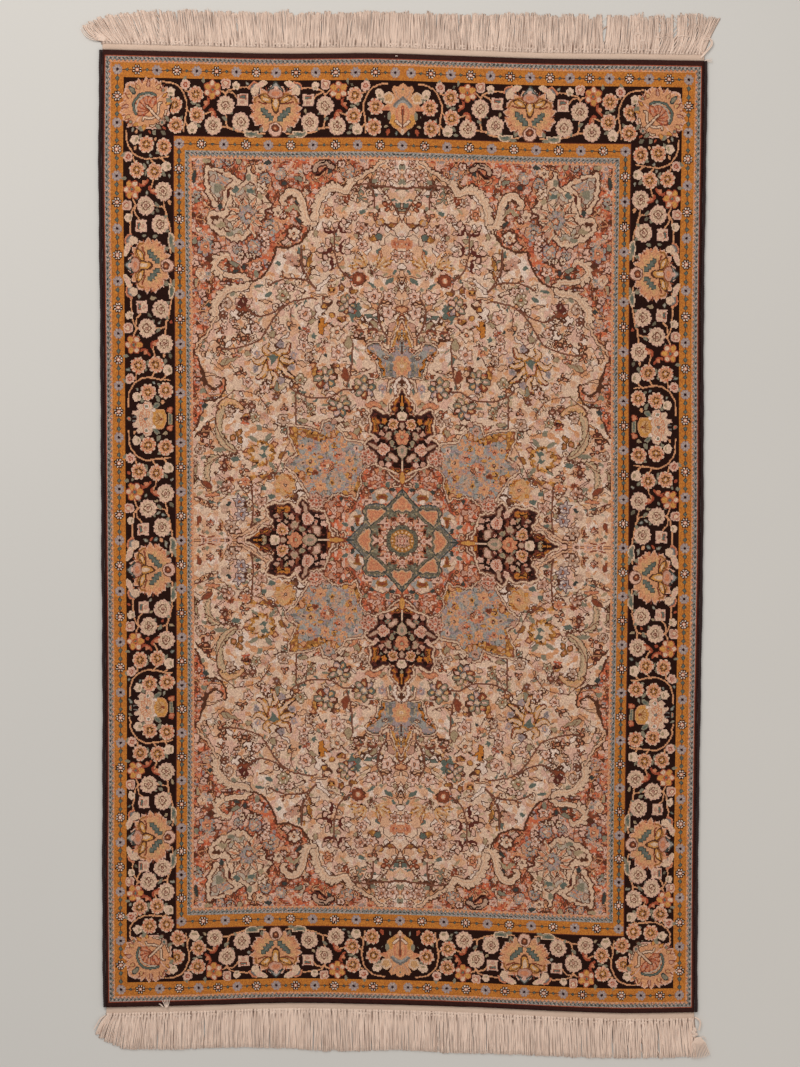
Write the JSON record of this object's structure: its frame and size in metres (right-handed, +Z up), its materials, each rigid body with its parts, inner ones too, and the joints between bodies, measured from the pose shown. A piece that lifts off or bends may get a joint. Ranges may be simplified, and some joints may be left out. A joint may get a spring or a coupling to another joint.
{
  "type": "silk rug",
  "caption": "Hand-knotted silk rug with a medallion and corner design, a flower border and knotted fringes, lying flat.",
  "frame": {"origin": "on the floor, under the middle of the whole rug with its fringes", "axes": "+Y runs along the rug's length, +X across its width, and +Z is up, out of the pile"},
  "size_m": [0.9648, 1.6036, 0.0048],
  "materials": {
    "silk_pile": "cut silk pile with a low sheen, knotted in many colours",
    "dark_silk": "dark maroon yarn wound tightly over a cord",
    "ivory_cotton": "matt ivory warp yarn, flat-woven at the bands and knotted in the fringe"
  },
  "bodies": {
    "root": {"rug_pile": "silk_pile", "side_cord_left": "dark_silk", "side_cord_right": "dark_silk", "end_band_far": "ivory_cotton", "end_band_near": "ivory_cotton", "fringe_far": "ivory_cotton", "fringe_near": "ivory_cotton"}
  },
  "joints": []
}
